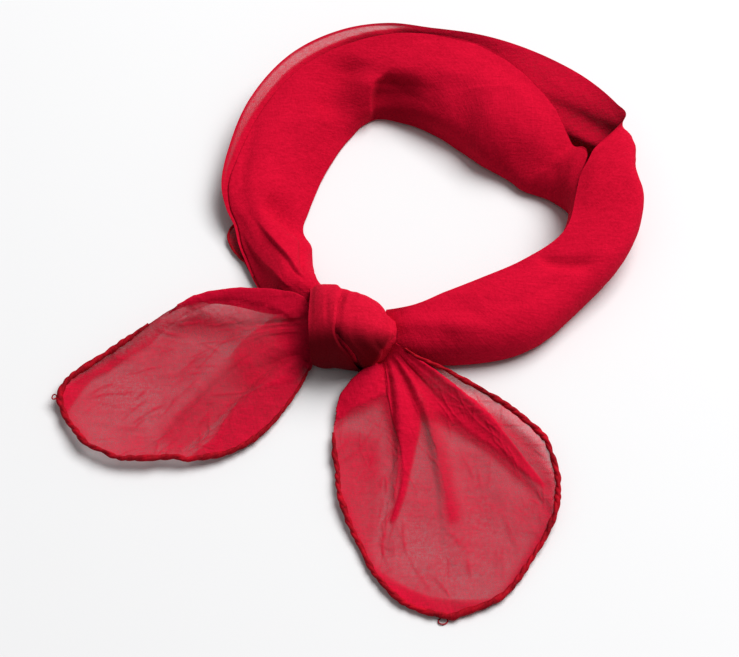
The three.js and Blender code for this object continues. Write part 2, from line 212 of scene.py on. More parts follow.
def resampled(path, step):
    """Points at even distances along a path."""
    run = np.concatenate([[0], np.cumsum(np.linalg.norm(np.diff(path, axis=0), axis=1))])
    at = np.linspace(0, run[-1], max(int(run[-1] / step), 2))
    return np.stack([np.interp(at, run, path[:, k]) for k in range(3)], axis=1), at


# Band round the neck: the same sections as the solid, drawn finer and with its folds.
# foot_in, foot_out: the inner and outer radius of the fold on the surface, and lift its height over it.
# crest_r, crest_z: the outer ply's free edge. puff: how far a ply swells, skew: below 1 where it
# swells most low down.
# lip: the share by which the inner ply ends below the free edge. sheer: 1 where one ply goes on past it.
BAND = table("angle foot_in foot_out lift crest_r crest_z inner_puff inner_skew "
             "outer_puff outer_skew lip sheer", [
    [-113, 56.5, 67, 0, 57.5, 16, 2, 1, 5, 1, 0.12, 0],
    [-104, 59.5, 71, 0, 56, 20.5, 3, 1, 9, 0.76, 0.12, 0],
    [-85, 56.5, 73.5, 0, 46, 20, 4, 1, 11, 0.76, 0.12, 0],
    [-60, 55.5, 78.5, 0, 43.2, 20, 4, 1, 12.5, 0.7, 0.12, 0],
    [-35, 58.5, 78, 0, 49, 21, 4, 1, 12, 0.65, 0.12, 0],
    [-12, 63.5, 85, 0, 59.8, 22, 2.5, 1, 15.5, 0.6, 0.1, 0],
    [5, 66, 90, 0, 64, 22, 2, 1, 18.5, 0.6, 0.06, 0],
    [15, 60.5, 89, 0, 69, 23, 2.5, 1, 18, 0.75, 0.04, 0],
    [22, 54.5, 90, 0, 77.5, 24.5, 4.5, 0.95, 18, 0.8, 0.05, 0],
    [25, 51.5, 89.5, 0, 82, 25.5, 5, 0.9, 17.5, 0.85, 0.12, 0],
    [28, 48.5, 88.5, 0, 89.7, 27.5, 6, 0.85, 15, 0.9, 0.265, 0],
    [31, 46.8, 88, 0, 98, 28.8, 6.5, 0.8, 6.5, 0.8, 0.41, 0],
    [35, 45.5, 84, 0, 98, 29.2, 7, 0.8, 3.5, 1, 0.39, 0],
    [46, 44.5, 76, 0, 98, 28.9, 8, 0.7, 1, 0.9, 0.28, 0],
    [60, 44.5, 67, 0, 97.9, 28.5, 11, 0.62, 0.5, 0.9, 0.16, 0],
    [75, 49.5, 62, 0, 101.8, 26.2, 12, 0.6, 2, 1, 0.07, 0],
    [90, 58, 68, 0, 103.5, 26.5, 12, 0.6, 6, 1, 0.04, 0.4],
    [101, 65.8, 76, 0, 108.5, 26.5, 11, 0.65, 2.5, 1, 0.09, 1],
    [112, 72.5, 82, 0, 112, 25, 8, 0.8, 1.2, 1, 0.14, 1],
    [125, 68.5, 75, 0, 113, 22, 5, 0.9, 0.9, 1, 0.14, 1],
    [140, 63, 69, 0, 109, 18, 4, 1, 0.9, 1, 0.13, 1],
    [155, 59.5, 66, 0, 103.5, 14, 3, 1, 0.9, 1, 0.09, 1],
    [168, 59, 65, 0, 99.8, 12, 4, 1, 0.7, 1, 0.05, 1],
    [175, 60, 65, 0, 95.8, 10, 4.5, 1, 0.6, 1, 0.03, 0.8],
    [180, 59.5, 65, 0, 92, 8, 6, 1, 1, 1, 0.03, 0.2],
    [186, 56.5, 66, 0, 90.3, 6, 8, 1, 0.5, 1, 0.03, 0],
    [192, 56.5, 67, 0, 88.3, 4, 10, 1, 0, 1, 0.03, 0],
    [202, 59, 68, 3, 86.5, 3, 12, 1, 0, 1, 0.03, 0],
    [210, 62, 69, 11, 84.5, 4, 8, 1, 0, 1, 0.03, 0],
    [217, 64, 71, 14, 78, 3, 4, 1, 0, 1, 0.03, 0],
    [223, 65, 71, 13, 75, 3, 2, 1, 0, 1, 0.03, 0],
])
BAND_ROWS = 600
TURNED_IN, INNER, FOOT, OUTER = 14, 62, 14, 60  # steps across each part of the section
FOOT_HEIGHT, HEEL_LIFT = 0.6, 0.5  # of the fold on the surface; the lift's share outside
LEAST_LIP, MOST_LIP = 0.03, 0.6
PLY_AIR, LIP_AIR = 1.7, 0.25  # between the plies of the band, and at its lip
AIR_OPENS, AIR_CLOSES, AIR_SPAN = 0.15, 0.7, 0.3  # shares of the inner ply by which it opens and closes
TURNED_FROM, TURNED_PUFF = 0.84, 0.7  # where the turned-in lip ends, and its share of the inner swell
TURNED_BEHIND, TURNED_SINK = 0.1, 0.8  # how far it starts behind the inner ply, and sinks away from it
SECTION_SMOOTHING = 1.8  # steps over which the section's corners are rounded
PLY_WIDTH, FOLD_RADIUS = 45.0, 80.0  # a ply's width and the radius where folds are measured
BAND_PLIES = 4
FADE_AT_LIP, FADE_AT_EDGE, FADE_IN_HOLLOW = 6, 2, 0.3  # widths and height over which the relief starts
SHEER_SPAN, BORDER, BORDER_SPAN = 1.5, 1.1, 0.5  # where the single ply starts, and its denser edge
BRIM_DROP, BRIM_REACH = 0.35, 0.35  # how the single ply past the lip lies down and outward
# The back of the pocket leans out: how far and which way, from what height, and between which angles
FLARE, FLARE_WAY = 9.0, np.array([0.7, -0.7])
FLARE_FROM, FLARE_POWER = 0.62, 1.2
FLARE_STARTS, FLARE_EASES_IN, FLARE_STOPS, FLARE_EASES_OUT = 22, 9, 78, 20
# Wrinkles strewn over the band: height, length along it, width across it and seed
BAND_WRINKLES = ((0.55, 30, 10, 3), (0.14, 9, 5, 4), (0.06, 2.2, 4.5, 5))

# Folds on the band. ply: 0 the inner, 1 the outer. Each runs along a bent line through three places,
# given as the angle and the share of the ply's width. Depth is how far it stands out, less than 0
# for a hollow. A crisp fold rises gently on its left and drops at its line, others are bells.
BAND_FOLDS = table("ply at height via_at via_height to_at to_height width depth crisp", [
    [0, 114, 0.02, 113, 0.27, 107, 0.56, 9, 2.6, 0],
    [0, 112, 0.86, 121, 0.58, 131, 0.3, 9, -3.6, 0],
    [0, 96, 0.5, 83, 0.35, 64, 0.16, 13, -2, 0],
    [0, 84, 0.6, 57, 0.52, 34, 0.68, 10, 1.5, 0],
    [0, 50, 0.26, 33, 0.42, 17, 0.62, 14, -2.2, 0],
    [0, 84, 0.44, 68, 0.66, 57, 0.95, 1.3, 0.7, 1],
    [0, 96, 0.74, 80, 0.62, 62, 0.76, 3.5, 0.6, 0],
    [0, 170, 0.62, 176, 0.34, 188, 0.12, 8, -3.2, 0],
    [0, 150, 0.3, 160, 0.42, 176, 0.46, 6, 1, 0],
    [0, 213, 0.14, 201, 0.48, 176, 0.78, 6, 2.3, 1],
    [0, 214, 0.5, 199, 0.8, 180, 0.96, 5, 1.5, 1],
    [0, 176, 0.04, 192, 0.2, 215, 0.22, 2.4, -1.8, 0],
    [0, 145, 0.62, 132, 0.58, 120, 0.7, 3, 0.7, 0],
    [1, -108, 0.8, -93, 0.64, -62, 0.32, 5, 1.6, 0],
    [1, -34, 0.94, -28, 0.66, -22, 0.36, 5, -2.2, 0],
    [1, -84, 0.86, -60, 0.8, -36, 0.84, 3, 0.9, 0],
    [1, -70, 0.66, -46, 0.56, -20, 0.62, 3.5, -0.9, 0],
    [1, -8, 0.92, 4, 0.66, 12, 0.45, 3.5, -0.9, 0],
    [1, 22, 0.98, 12, 0.86, -4, 0.88, 4, 1.2, 0],
    [1, 66, 0.36, 44, 0.27, 21, 0.28, 9, -6.2, 0],
])
FOLD_STEPS, FOLD_FADE, CRISP_DROP = 13, 0.3, 0.7  # along a fold; its ends' share; half a crisp fold's drop
# The hollow under the back of the band, whose left side is the sharp fold where the band turns
HOLLOW = table("height left top_fade", [
    [0, 114.6, 1],
    [0.15, 114, 1],
    [0.3, 112.4, 1],
    [0.42, 110.4, 0.8],
    [0.52, 107, 0.3],
    [0.6, 103, 0],
])
# How deep the hollow sinks, and the plies that paint shade into it by darkening its colour
HOLLOW_DEPTH, HOLLOW_PAINTED_SHADE = 6.0, 2.2
HOLLOW_EDGE, HOLLOW_RIGHT, HOLLOW_SPAN = 3.0, 82.0, 24.0  # its sudden left side; its slow right side


def flare(angle, up):
    """How far the outer ply leans out: a power of the height on it, eased in and out along the band."""
    return (FLARE * ease((angle - FLARE_STARTS) / FLARE_EASES_IN)
            * ease((FLARE_STOPS - angle) / FLARE_EASES_OUT)
            * np.clip((up - FLARE_FROM) / (1 - FLARE_FROM), 0, 1) ** FLARE_POWER)


def band_section(angle):
    """Centre line of the band's section at each angle, as radius and height, and what lies along it.

    It runs from the ply turned in at the lip, up over it and down the inner ply, along the fold on
    the surface and up the outer ply to the free edge. Each ply is a straight line that swells by a
    half sine whose crest is moved by its skew, and behind the pocket the outer one leans out.
    """
    (foot_in, foot_out, lift, crest_r, crest_z, inner_puff, inner_skew, outer_puff, outer_skew, lip,
     sheer) = columns_at(BAND, angle[:, None])
    lift, inner_puff, outer_puff = (np.maximum(value, 0) for value in (lift, inner_puff, outer_puff))
    foot = np.stack([foot_in, FOOT_HEIGHT + lift], axis=2)
    heel = np.stack([foot_out, FOOT_HEIGHT + HEEL_LIFT * lift], axis=2)
    crest = np.stack([crest_r, crest_z], axis=2)
    lip = np.clip(lip, LEAST_LIP, MOST_LIP)

    def ply(start, t, share, puff, side):
        """Part of the straight line from a start to the crest, moved square to itself by its puff."""
        line = crest - start
        normal = np.stack([-line[..., 1], line[..., 0]], axis=2) * side
        normal /= np.linalg.norm(normal, axis=2, keepdims=True)
        return start + line * (t * share)[..., None] + normal * puff[..., None]

    down = np.linspace(1, 0, INNER, endpoint=False)[None]
    air = PLY_AIR * ease(down / AIR_OPENS) - (PLY_AIR - LIP_AIR) * ease((down - AIR_CLOSES) / AIR_SPAN)
    swell = air + inner_puff * np.sin(np.pi * down ** inner_skew)
    inner = ply(foot, down, 1 - lip, swell, 1)
    back = np.linspace(TURNED_FROM, 1, TURNED_IN, endpoint=False)[None]
    sunk = -TURNED_BEHIND - TURNED_SINK * ease((1 - back) / 0.1)
    hidden = sunk + TURNED_PUFF * inner_puff * np.sin(np.pi * back ** inner_skew)
    turned_in = ply(foot, back, 1 - lip, hidden, 1)
    across = np.linspace(0, 1, FOOT, endpoint=False)[None, :, None]
    under = foot + (heel - foot) * across
    up = np.linspace(0, 1, OUTER)[None]
    outer_swell = outer_puff * np.sin(np.pi * up ** outer_skew)
    outer = ply(heel, up, np.ones_like(lip), outer_swell, -1)
    outer = outer + flare(angle[:, None], up)[..., None] * FLARE_WAY
    section = np.concatenate([turned_in, inner, under, outer], axis=1)
    which = np.repeat([-1, 0, -1, 1], [TURNED_IN, INNER, FOOT, OUTER])
    height = np.concatenate([back[0], down[0], across[0, :, 0], up[0]])
    single = np.where((which == 1) & (height > 1 - lip), np.clip(sheer, 0, 1), 0)
    return section, which, height, lip, single


def fold_relief(which, angle, height):
    """Height of all the band's folds over its plies.

    A fold's line is a parabola through its three places, taken as short straight steps. Across the
    line it is a bell, or for a crisp fold a slow decay on one side and a sudden drop on the other.
    """
    arc = np.pi / 180 * FOLD_RADIUS
    x, y = angle * arc, height * PLY_WIDTH
    relief = np.zeros(np.broadcast(x, y).shape)
    steps = np.linspace(0, 1, FOLD_STEPS)
    bend = [(1 - steps) * (1 - 2 * steps), 4 * steps * (1 - steps), steps * (2 * steps - 1)]
    for k in range(len(BAND_FOLDS["at"])):
        fold = {name: column[k] for name, column in BAND_FOLDS.items()}
        px = sum(w * fold[name] * arc for w, name in zip(bend, ("at", "via_at", "to_at")))
        py = sum(w * fold[name] * PLY_WIDTH
                 for w, name in zip(bend, ("height", "via_height", "to_height")))
        nearest = np.full(relief.shape, np.inf)
        side, place = np.zeros(relief.shape), np.zeros(relief.shape)
        for i in range(len(steps) - 1):
            dx, dy = px[i + 1] - px[i], py[i + 1] - py[i]
            t = np.clip(((x - px[i]) * dx + (y - py[i]) * dy) / (dx * dx + dy * dy), 0, 1)
            ox, oy = x - px[i] - t * dx, y - py[i] - t * dy
            far = np.hypot(ox, oy)
            closer = far < nearest
            nearest = np.where(closer, far, nearest)
            side = np.where(closer, np.sign(dx * oy - dy * ox), side)
            place = np.where(closer, (i + t) / (len(steps) - 1), place)
        fade = ease(place / FOLD_FADE) * ease((1 - place) / FOLD_FADE)
        signed = nearest * side
        drop = ease((signed + CRISP_DROP) / (2 * CRISP_DROP))
        crisp = np.exp(-np.maximum(signed, 0) / fold["width"]) * drop
        shape = np.where(fold["crisp"] > 0, crisp, bump(nearest, fold["width"]))
        relief += np.where(which == fold["ply"], fold["depth"] * fade * shape, 0)
    return relief


def hollow_share(which, angle, height):
    """1 in the hollow under the back of the band and 0 round it: sudden on its left, slow on its right."""
    left = np.interp(height, HOLLOW["height"], HOLLOW["left"])
    top = np.interp(height, HOLLOW["height"], HOLLOW["top_fade"])
    mask = (ease(np.radians(left - angle) * FOLD_RADIUS / HOLLOW_EDGE)
            * ease((angle - HOLLOW_RIGHT) / HOLLOW_SPAN) * ease(top))
    return np.where(which == 0, mask, 0)


def neck_band(material):
    """Sheet of the band: its section swept round the ring, moved along its normals by its relief.

    The relief is the folds, the hollow and the strewn wrinkles, faded out at the two free edges.
    """
    angle = np.linspace(BAND["angle"][0], BAND["angle"][-1], BAND_ROWS)
    section, which, height, lip, single = band_section(angle)
    brim = single.max(1)[:, None]
    past = np.where(which == 1, np.maximum(height - 1 + lip, 0), 0) * PLY_WIDTH * brim
    section = smoothed(section, 1, SECTION_SMOOTHING)
    section = section + past[..., None] * np.array([BRIM_REACH, -BRIM_DROP])
    grid = polar(RING, section[..., 0], angle[:, None], section[..., 1])
    run, width = along(grid, 0), along(grid, 1)
    free = ease(width / FADE_AT_LIP) * ease((width[:, -1:] - width) / FADE_AT_EDGE)
    hollow = hollow_share(which[None], angle[:, None], height[None])
    relief = fold_relief(which[None], angle[:, None], height[None])
    relief = relief - HOLLOW_DEPTH * hollow * ease(height / FADE_IN_HOLLOW)
    for rise, length, wide, seed in BAND_WRINKLES:
        relief = relief + rise * noise(run / length, width / wide, seed)
    grid = with_relief(grid, relief * free, normals(grid))
    sheer_share = single * ease(past / SHEER_SPAN)
    border = ease((width - width[:, -1:] + BORDER) / BORDER_SPAN)
    # Plies added in the hollow paint shade into it: past four they darken the colour
    plies = BAND_PLIES - (BAND_PLIES - 1) * sheer_share * (1 - border) + HOLLOW_PAINTED_SHADE * hollow
    weave = on_bias(np.radians(angle)[:, None] * FOLD_RADIUS, width)
    return sheet_mesh("band_cloth", grid, plies, weave, material)


# Knot

KNOT = table("x back front top", [
    [-26, 8, -23, 24],
    [-19, 7, -24, 28.5],
    [-8, 3.5, -25.5, 29.5],
    [2, -1, -24.5, 26.5],
    [12, -6, -18, 17.5],
])
KNOT_SQUARENESS = 2.6
KNOT_MIDDLE = np.array([-6, -8, 12])
KNOT_PLIES = 4
CORE_PLEATS = (0.5, 9, 14)  # height in mm, length in mm and width in degrees

# Two turns of cloth over the bundle. The side turn lies on top and its right edge is the lip that
# shows. The wrap runs on to the left under that lip. left, right: the turn's edges in x.
# dip: how far the cloth sinks where the lip crosses it.
WRAP = table("angle left right dip", [
    [10, -19, 6, 0],
    [60, -16, 9, 1],
    [77, -17, 10, 2.2],
    [91, -18.2, 10.5, 1.2],
    [112, -19, 12.2, 0.6],
    [129, -19, 11.5, 1.6],
    [145, -18, 10.2, 2.6],
    [160, -15, 8.2, 3],
    [180, -11.5, 6.5, 2.6],
    [200, -9, 3.5, 1.5],
    [235, -7, 0, 0.5],
])
SIDE_TURN = table("angle left right dip", [
    [10, -26.6, -15, 0],
    [60, -26.8, -12.2, 0],
    [77, -27, -12.8, 0],
    [91, -27.2, -14.2, 0],
    [112, -27.2, -14.8, 0],
    [129, -27, -15.2, 0],
    [153, -26.6, -12.8, 0],
    [178, -26, -7.9, 0],
    [200, -25, -5, 0],
    [215, -24, -3.4, 0],
    [240, -22, -2, 0],
])
# rise: height over the bundle. under_lip: the margin that lies hidden under the lip. left_edge and
# right_edge: how far each edge stands out, or is rolled in below 0, and over what width.
SIDE_TURN_FORM = dict(edges=SIDE_TURN, rise=2.5, under_lip=0.0, left_edge=(-0.8, 4.0),
                      right_edge=(-0.7, 1.2), pleat=0.7, seed=20)
WRAP_FORM = dict(edges=WRAP, rise=1.7, under_lip=4.0, left_edge=(-0.6, 2.0),
                 right_edge=(-1.6, 3.2), pleat=0.6, seed=30)
TURN_ROWS, TURN_STEPS = 170, 60
TURN_PLEATS = ((1, 40, 4.5), (0.3, 14, 2))  # share of the turn's pleat, length and width
DIP_SPAN = 4.0
# Painted shade on the knot's lower front: more plies, which darken the colour, lie under a turn from
# this angle on, reached over a span, but not under the wrap's right margin, which is left without it
PAINTED_SHADE_FROM, PAINTED_SHADE_SPAN, PAINTED_SHADE_PLIES = 98, 50, 3.8
UNSHADED_MARGIN, UNSHADED_MARGIN_SPAN = 1.5, 4.0


def knot_point(x, angle, rise):
    """Point on the knot's bundle, whose section is a superellipse, moved out by rise."""
    back, front, top = columns_at(KNOT, x)
    turn = np.radians(angle)
    bend = lambda value: np.sign(value) * np.abs(value) ** (2 / KNOT_SQUARENESS)
    return np.stack([np.broadcast_to(x, np.broadcast(x, angle).shape),
                     (back + front) / 2 + ((back - front) / 2 + rise) * bend(np.cos(turn)),
                     top / 2 + (top / 2 + rise) * bend(np.sin(turn))], axis=-1)


def knot_core(material):
    """Bundle inside the knot: its superellipse sections, pleated by a smooth random relief."""
    x = np.linspace(KNOT["x"][0], KNOT["x"][-1], 60)[:, None]
    angle = np.linspace(0, 360, 121)[None]
    grid = knot_point(x, angle, 0.0)
    height, length, width = CORE_PLEATS
    pleats = height * noise(x / length + 0 * angle, angle / width + 0 * x, 8)
    grid = with_relief(grid, -pleats, normals(grid))
    weave = np.stack([along(grid, 0), along(grid, 1)], axis=2)
    return sheet_mesh("knot_core_cloth", grid, KNOT_PLIES, weave, material)


def knot_turn(name, material, edges, rise, under_lip, left_edge, right_edge, pleat, seed):
    """Turn of cloth over the bundle between two edges.

    Its relief is coarse and fine pleats, the two edges' smooth steps and the dip under the lip.
    """
    angle = np.linspace(edges["angle"][0], edges["angle"][-1], TURN_ROWS)[:, None]
    across = np.linspace(0, 1, TURN_STEPS)[None]
    left, right, dip = columns_at(edges, angle)
    x = left + (right - left) * across
    grid = knot_point(x, angle + 0 * across, rise)
    grid[..., 2] = np.maximum(grid[..., 2], FOOT_HEIGHT)
    run, width = along(grid, 0), along(grid, 1)
    from_right = width[:, -1:] - width
    relief = (sum(share * pleat * noise(run / length, width / wide, seed + k)
                  for k, (share, length, wide) in enumerate(TURN_PLEATS))
              + left_edge[0] * (1 - ease(width / left_edge[1]))
              + right_edge[0] * (1 - ease(from_right / right_edge[1]))
              - dip * (1 - ease((width - under_lip) / DIP_SPAN)))
    outward = normals(grid)
    middle = TURN_ROWS // 2, TURN_STEPS // 2
    outward *= np.sign((outward[middle] * (grid[middle] - KNOT_MIDDLE)).sum())
    grid = with_relief(grid, relief, outward)
    # Painted shade: plies added towards the knot's lower front darken its colour, but not along the wrap's
    # right margin
    margin = 1 - ease((from_right - UNSHADED_MARGIN) / UNSHADED_MARGIN_SPAN) if under_lip else 0
    plies = KNOT_PLIES + PAINTED_SHADE_PLIES * ease((angle - PAINTED_SHADE_FROM) / PAINTED_SHADE_SPAN) * (1 - margin)
    return sheet_mesh(name, grid, plies, on_bias(run, width), material)


# Tails: fan-shaped sheets. Each row is a fold line or the middle of a clear panel. seat is its place
# on the line where the tail leaves the knot, between the two ends given. near, mid and rim are its
# angles about the tail's centre at 30, 60 and 100 % of its reach, and z_near, z_mid and z_rim its heights.

TAIL_COLUMNS = "seat near mid rim reach z_near z_mid z_rim"
RIGHT_TAIL = dict(centre=(10, -20), seat=([3, -22.6, 3], [14, -20, 15]), lines=table(TAIL_COLUMNS, [
    [0, 244, 235, 231, 36.5, 2.5, 2, 2],
    [0.06, 208, 216, 231, 38, 7, 6, 4],
    [0.14, 230, 234, 236, 46, 8, 6, 3.5],
    [0.22, 250, 248, 247, 62, 5.5, 2.8, 3],
    [0.29, 261, 259, 254, 78.5, 4.5, 1.8, 2.8],
    [0.36, 270, 268, 265, 105.5, 4, 1, 2.2],
    [0.43, 276, 271.5, 266.5, 110, 6.8, 2.4, 2.2],
    [0.5, 284, 277, 272, 122.5, 4.8, 1, 2],
    [0.57, 290, 283.5, 280, 130.5, 4.2, 0.8, 1.8],
    [0.63, 295, 287, 282, 130.5, 6.6, 2, 2],
    [0.69, 303, 297, 291, 127.5, 4.4, 0.8, 2.2],
    [0.75, 310, 305, 301, 116, 4.6, 1.6, 3],
    [0.8, 316, 312.5, 308, 109, 6, 2.6, 3.8],
    [0.85, 321, 317, 312, 104.5, 8, 4.4, 4.5],
    [0.9, 327, 321.5, 316.5, 98, 10.5, 6.4, 5.2],
    [0.94, 330, 324.5, 319, 94.3, 9, 5.8, 5.2],
    [0.97, 333.5, 328.5, 321.5, 90, 9, 6.6, 5.8],
    [1, 337, 334, 327, 80, 11.5, 8, 6.5],
]))
LEFT_TAIL = dict(centre=(-26, -8), seat=([-27.6, 2, 17], [-26.6, -24.3, 3]), lines=table(TAIL_COLUMNS, [
    [0, 154, 155, 171.5, 66.5, 10, 6, 7.5],
    [0.06, 122, 148.5, 168, 61, 17.5, 14.8, 11.8],
    [0.15, 160, 167, 177, 72.5, 12.5, 8.5, 9.5],
    [0.23, 171, 177.5, 186, 90, 9, 3.8, 6.5],
    [0.31, 178, 186, 192, 109.5, 7, 1.8, 5],
    [0.39, 184, 193, 198, 115.5, 6.5, 0.8, 4],
    [0.46, 189, 201, 208, 113.5, 6, 0.8, 5],
    [0.53, 195, 208, 214, 109.5, 6, 1.5, 5.6],
    [0.6, 201, 212.5, 218, 104, 6.5, 2.4, 6],
    [0.66, 207, 216, 219.5, 100.5, 8.5, 4, 6],
    [0.72, 214, 220, 222.5, 95.5, 7.5, 3, 6],
    [0.79, 222, 224.5, 224.5, 90.5, 5.5, 2.2, 5.5],
    [0.85, 230, 228.5, 226.5, 88, 7.5, 4.2, 5.5],
    [0.9, 238, 233, 228.5, 85.5, 8.5, 5.5, 5],
    [0.95, 247, 240.5, 230.5, 83.5, 6.5, 4, 4.5],
    [1, 260, 249, 232.5, 80, 3, 2.5, 4.5],
]))
TAIL_STOPS = (0.0, 0.3, 0.6, 1.0)
TAIL_STEPS, LINE_STEPS = 170, 16  # from the knot to the rim, and from each line to the next
HIDDEN_IN_KNOT = 0.04  # the share of the reach that runs on into the knot
TAIL_BIAS = np.radians(12)  # how far the threads are turned
# Reliefs of a tail: height, then cells to a line and to the reach, or the cell's two sizes in mm
SWELL, FLUTTER = (0.45, 1.5, 1.3), (0.5, 1.7, 3)
RUMPLE, CREPE = (0.30, 6.5, 6.5), (0.13, 2.4, 1.7)

# Places on a tail where the cloth lies in more than one ply, seen from above. Each runs between two
# angles about the tail's centre that change with the distance from it. extra is the plies added,
# soft_from and soft_to how gradually its two sides start, in mm.
PATCH_STARTS, PATCH_STOPS = 3.0, 5.0  # lengths over which a patch starts and stops on the way out


def patch(extra, soft_from, soft_to, *rows):
    """One patch, with a row for each distance from the tail's centre: the distance and the two angles."""
    return dict(extra=extra, soft_from=soft_from, soft_to=soft_to,
                rows=table("away from_angle to_angle", rows))


RIGHT_PATCHES = [
    patch(2.2, 4, 1.2, [8, 200, 262], [18.6, 200, 259], [24, 200, 246], [31, 205, 236.5],
          [40, 215, 233]),
    patch(2.4, 0.9, 2.5, [8, 250, 320], [13, 258, 308], [24, 267.6, 298], [36.5, 272, 289],
          [47, 274.3, 282], [58, 274.5, 277.2], [68, 272.5, 274.4], [81, 269.3, 270.6]),
    patch(0.6, 0.9, 6, [8, 286, 345], [24, 290, 314], [36.5, 292, 301], [40, 293.5, 300],
          [55, 291, 296], [68, 288.7, 292.5], [86, 286.5, 289]),
    patch(2.2, 2.5, 1, [8, 290, 360], [17.5, 300, 336], [24, 302, 331], [31.5, 304, 329],
          [44, 311, 326.5], [62, 313.7, 321], [78, 314, 317.5], [92, 314.2, 315.2]),
    patch(0.3, 9, 5, [40, 238, 262], [70, 244, 266], [100, 252, 264]),
    patch(0.75, 3, 3.5, [98, 251, 261], [110, 256, 269], [120, 262, 278], [127, 268, 289],
          [132, 270, 296]),
]
LEFT_PATCHES = [
    patch(2.4, 3, 1.6, [6, 80, 160], [13, 90, 152], [24, 100, 152.5], [35, 120, 155], [46, 140, 160],
          [57, 150, 167]),
    patch(0.55, 5, 6, [16, 130, 182], [34, 140, 174], [46, 148, 173], [57, 158, 172]),
    patch(0.8, 2, 1.2, [46, 140, 162], [57, 150, 170], [72, 165, 182], [91, 180, 190],
          [98, 184, 191.5], [104, 187, 194.5], [111, 190, 198.5], [116, 190, 201]),
    patch(0.8, 1, 2, [6, 90, 262], [13, 151, 262], [23, 175, 255], [30, 186, 244], [37, 196, 229]),
    patch(0.4, 7, 1.5, [30, 190, 236], [40, 200, 226], [60, 211, 226], [82, 217, 226]),
    patch(1, 1, 4, [24, 244, 275], [32, 236, 266], [44, 226.5, 256], [54, 229, 252],
          [66, 231.5, 246], [80, 230.5, 240]),
]
RIM_EXTRA, RIM_MARGIN = 0.7, 4.0  # denser cloth beside the hem and how far it reaches
# Plies past four also darken the colour as painted shade; the most of 4.4 keeps that to a tenth
GATHERED, MOST_PLIES = 4.0, 4.4  # plies added where the cloth enters the knot, and most of all
PLY_STEP, MOST_STEPS = 0.22, 3  # height of each added ply, and how many of them raise the cloth

# Fine creases are short crooked lines strewn over a tail: how many, their length, and how far they
# stray from the way out of the knot, in radians
RIGHT_CREASES = dict(count=150, length=(7.0, 26.0), spread=0.5, seed=81)
LEFT_CREASES = dict(count=150, length=(6.0, 24.0), spread=0.45, seed=91)
CREASE_WIDTH, CREASE_HEIGHT, CREASE_PLIES = 0.36, 0.28, 0.55
CREASE_WANDER, CREASE_PHASE, CREASE_WEIGHT = (0.1, 0.45), (0, 6.3), (0.2, 1.0)  # between these, at random
CREASE_WAVE, CREASE_RIPPLE, RIPPLE_SHARE = 0.35, 1.3, 0.3  # radians to a millimetre, and its share
MOST_CREASED = 1.3
SMOOTH_NEAR_KNOT = (22, 15)  # distance without creases, and the span over which they start


def through_stops(values, v):
    """Cubic through the four values at the stops of a tail line, as Lagrange's sum."""
    total = 0
    for value, here in zip(values, TAIL_STOPS):
        others = [stop for stop in TAIL_STOPS if stop != here]
        total = total + value * np.prod([(v - stop) / (here - stop) for stop in others], axis=0)
    return total


def across_lines(lines, steps):
    """Smooth curve across the tail's lines, with this many steps from each line to the next."""
    ends = [2 * lines[:1] - lines[1:2], 2 * lines[-1:] - lines[-2:-1]]
    p = np.concatenate([ends[0], lines, ends[1]])
    t = (np.arange(steps) / steps).reshape((1, -1) + (1,) * (lines.ndim - 1))
    p0, p1, p2, p3 = (p[k:k + len(lines) - 1][:, None] for k in range(4))
    curve = cubic(t, p1, (p2 - p0) / 2, p2, (p3 - p1) / 2)
    return np.concatenate([curve.reshape((-1,) + lines.shape[1:]), lines[-1:]])


def patches_on(away, angle, patches):
    """Plies added by the patches: each is a smooth step in at one angle times one out at the other."""
    extra = 0
    for patch in patches:
        rows = patch["rows"]
        start, stop = rows["away"][0], rows["away"][-1]
        low = np.radians(angle - np.interp(away, rows["away"], rows["from_angle"])) * away
        high = np.radians(np.interp(away, rows["away"], rows["to_angle"]) - angle) * away
        mask = (ease(low / patch["soft_from"] + 0.5) * ease(high / patch["soft_to"] + 0.5)
                * ease((stop - away) / PATCH_STOPS + 0.5) * ease((away - start) / PATCH_STARTS + 0.5))
        extra = extra + patch["extra"] * mask
    return extra


def creases_on(x, y, away, angle, creases):
    """Bells across many short crooked lines, each a straight run with a slow side-to-side wander."""
    rng = np.random.default_rng(creases["seed"])
    lines, steps = x.shape
    total = np.zeros(x.shape)
    for _ in range(creases["count"]):
        middle = rng.integers(lines // 12, lines * 11 // 12), rng.integers(steps // 3, steps)
        length, swing = rng.uniform(*creases["length"]), rng.normal(0, creases["spread"])
        wander, phase, weight = (rng.uniform(*span)
                                 for span in (CREASE_WANDER, CREASE_PHASE, CREASE_WEIGHT))
        run, off = turned(x - x[middle], y - y[middle], angle[middle] + swing)
        off = (off - wander * np.sin(run * CREASE_WAVE + phase)
               - RIPPLE_SHARE * wander * np.sin(run * CREASE_RIPPLE + 2 * phase))
        ends = ease((0.5 * length - np.abs(run)) / (0.3 * length))
        total += weight * ends * bump(off, CREASE_WIDTH * (0.7 + 0.6 * weight))
    return np.minimum(total, MOST_CREASED) * ease((away - SMOOTH_NEAR_KNOT[0]) / SMOOTH_NEAR_KNOT[1])


